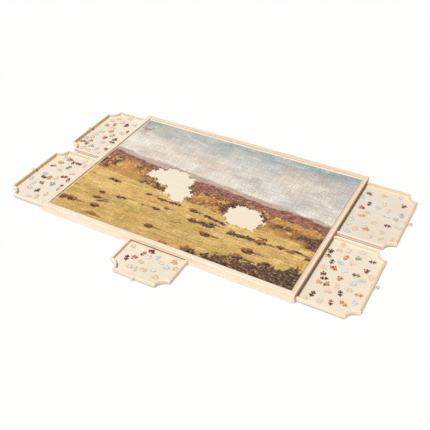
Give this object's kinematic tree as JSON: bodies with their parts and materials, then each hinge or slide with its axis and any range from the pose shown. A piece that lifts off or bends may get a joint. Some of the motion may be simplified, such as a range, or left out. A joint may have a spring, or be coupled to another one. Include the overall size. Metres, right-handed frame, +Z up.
{
  "type": "jigsaw puzzle board with drawers",
  "caption": "Low wooden tray-topped board for working a jigsaw puzzle, with shallow scalloped drawers that slide out from its sides and front to sort and store loose pieces.",
  "frame": {"origin": "middle of the footprint of the case, on the table: the underside of the brace under the middle of the work surface", "axes": "+Z up, +X to the right along the long side, +Y to the back, away from the side with one drawer"},
  "size_m": [1.267, 0.779, 0.03],
  "materials": {
    "rail": "clear satin lacquer on pale softwood",
    "work_surface": "smooth pale board",
    "inner_frame": "sanded pale softwood",
    "drawer_wall": "clear satin lacquer on pale softwood",
    "drawer_floor": "smooth pale plywood",
    "knob": "turned and lacquered",
    "puzzle": "printed, slightly glossy face"
  },
  "bodies": {
    "case": {"front_rail": "rail", "back_rail": "rail", "left_rail": "rail", "right_rail": "rail", "work_surface": "work_surface", "left_guide": "inner_frame", "right_guide": "inner_frame", "left_runner": "inner_frame", "right_runner": "inner_frame", "centre_brace": "inner_frame"},
    "left_back_drawer": {"left_back_drawer_floor": "drawer_floor", "left_back_drawer_face": "drawer_wall", "left_back_drawer_back": "drawer_wall", "left_back_drawer_left_side": "drawer_wall", "left_back_drawer_right_side": "drawer_wall", "left_back_drawer_corners": "drawer_wall", "left_back_drawer_knob": "knob"},
    "left_front_drawer": {"left_front_drawer_floor": "drawer_floor", "left_front_drawer_face": "drawer_wall", "left_front_drawer_back": "drawer_wall", "left_front_drawer_left_side": "drawer_wall", "left_front_drawer_right_side": "drawer_wall", "left_front_drawer_corners": "drawer_wall", "left_front_drawer_knob": "knob"},
    "right_back_drawer": {"right_back_drawer_floor": "drawer_floor", "right_back_drawer_face": "drawer_wall", "right_back_drawer_back": "drawer_wall", "right_back_drawer_left_side": "drawer_wall", "right_back_drawer_right_side": "drawer_wall", "right_back_drawer_corners": "drawer_wall", "right_back_drawer_knob": "knob"},
    "right_front_drawer": {"right_front_drawer_floor": "drawer_floor", "right_front_drawer_face": "drawer_wall", "right_front_drawer_back": "drawer_wall", "right_front_drawer_left_side": "drawer_wall", "right_front_drawer_right_side": "drawer_wall", "right_front_drawer_corners": "drawer_wall", "right_front_drawer_knob": "knob"},
    "front_drawer": {"front_drawer_floor": "drawer_floor", "front_drawer_face": "drawer_wall", "front_drawer_back": "drawer_wall", "front_drawer_left_side": "drawer_wall", "front_drawer_right_side": "drawer_wall", "front_drawer_corners": "drawer_wall", "front_drawer_knob": "knob"},
    "puzzle": {"puzzle": "puzzle"}
  },
  "joints": [
    {"name": "left_back_drawer_slide", "type": "slide", "parent": "case", "child": "left_back_drawer", "axis": [-1, 0, 0], "range_m": [-0.162, 0.108]},
    {"name": "left_front_drawer_slide", "type": "slide", "parent": "case", "child": "left_front_drawer", "axis": [-1, 0, 0], "range_m": [-0.169, 0.101]},
    {"name": "right_back_drawer_slide", "type": "slide", "parent": "case", "child": "right_back_drawer", "axis": [1, 0, 0], "range_m": [-0.181, 0.089]},
    {"name": "right_front_drawer_slide", "type": "slide", "parent": "case", "child": "right_front_drawer", "axis": [1, 0, 0], "range_m": [-0.177, 0.093]},
    {"name": "front_drawer_slide", "type": "slide", "parent": "case", "child": "front_drawer", "axis": [0, -1, 0], "range_m": [-0.13, 0.117]},
    {"name": "puzzle_lift", "type": "slide", "parent": "case", "child": "puzzle", "axis": [0, 0, 1], "range_m": [0, 0.06]}
  ]
}
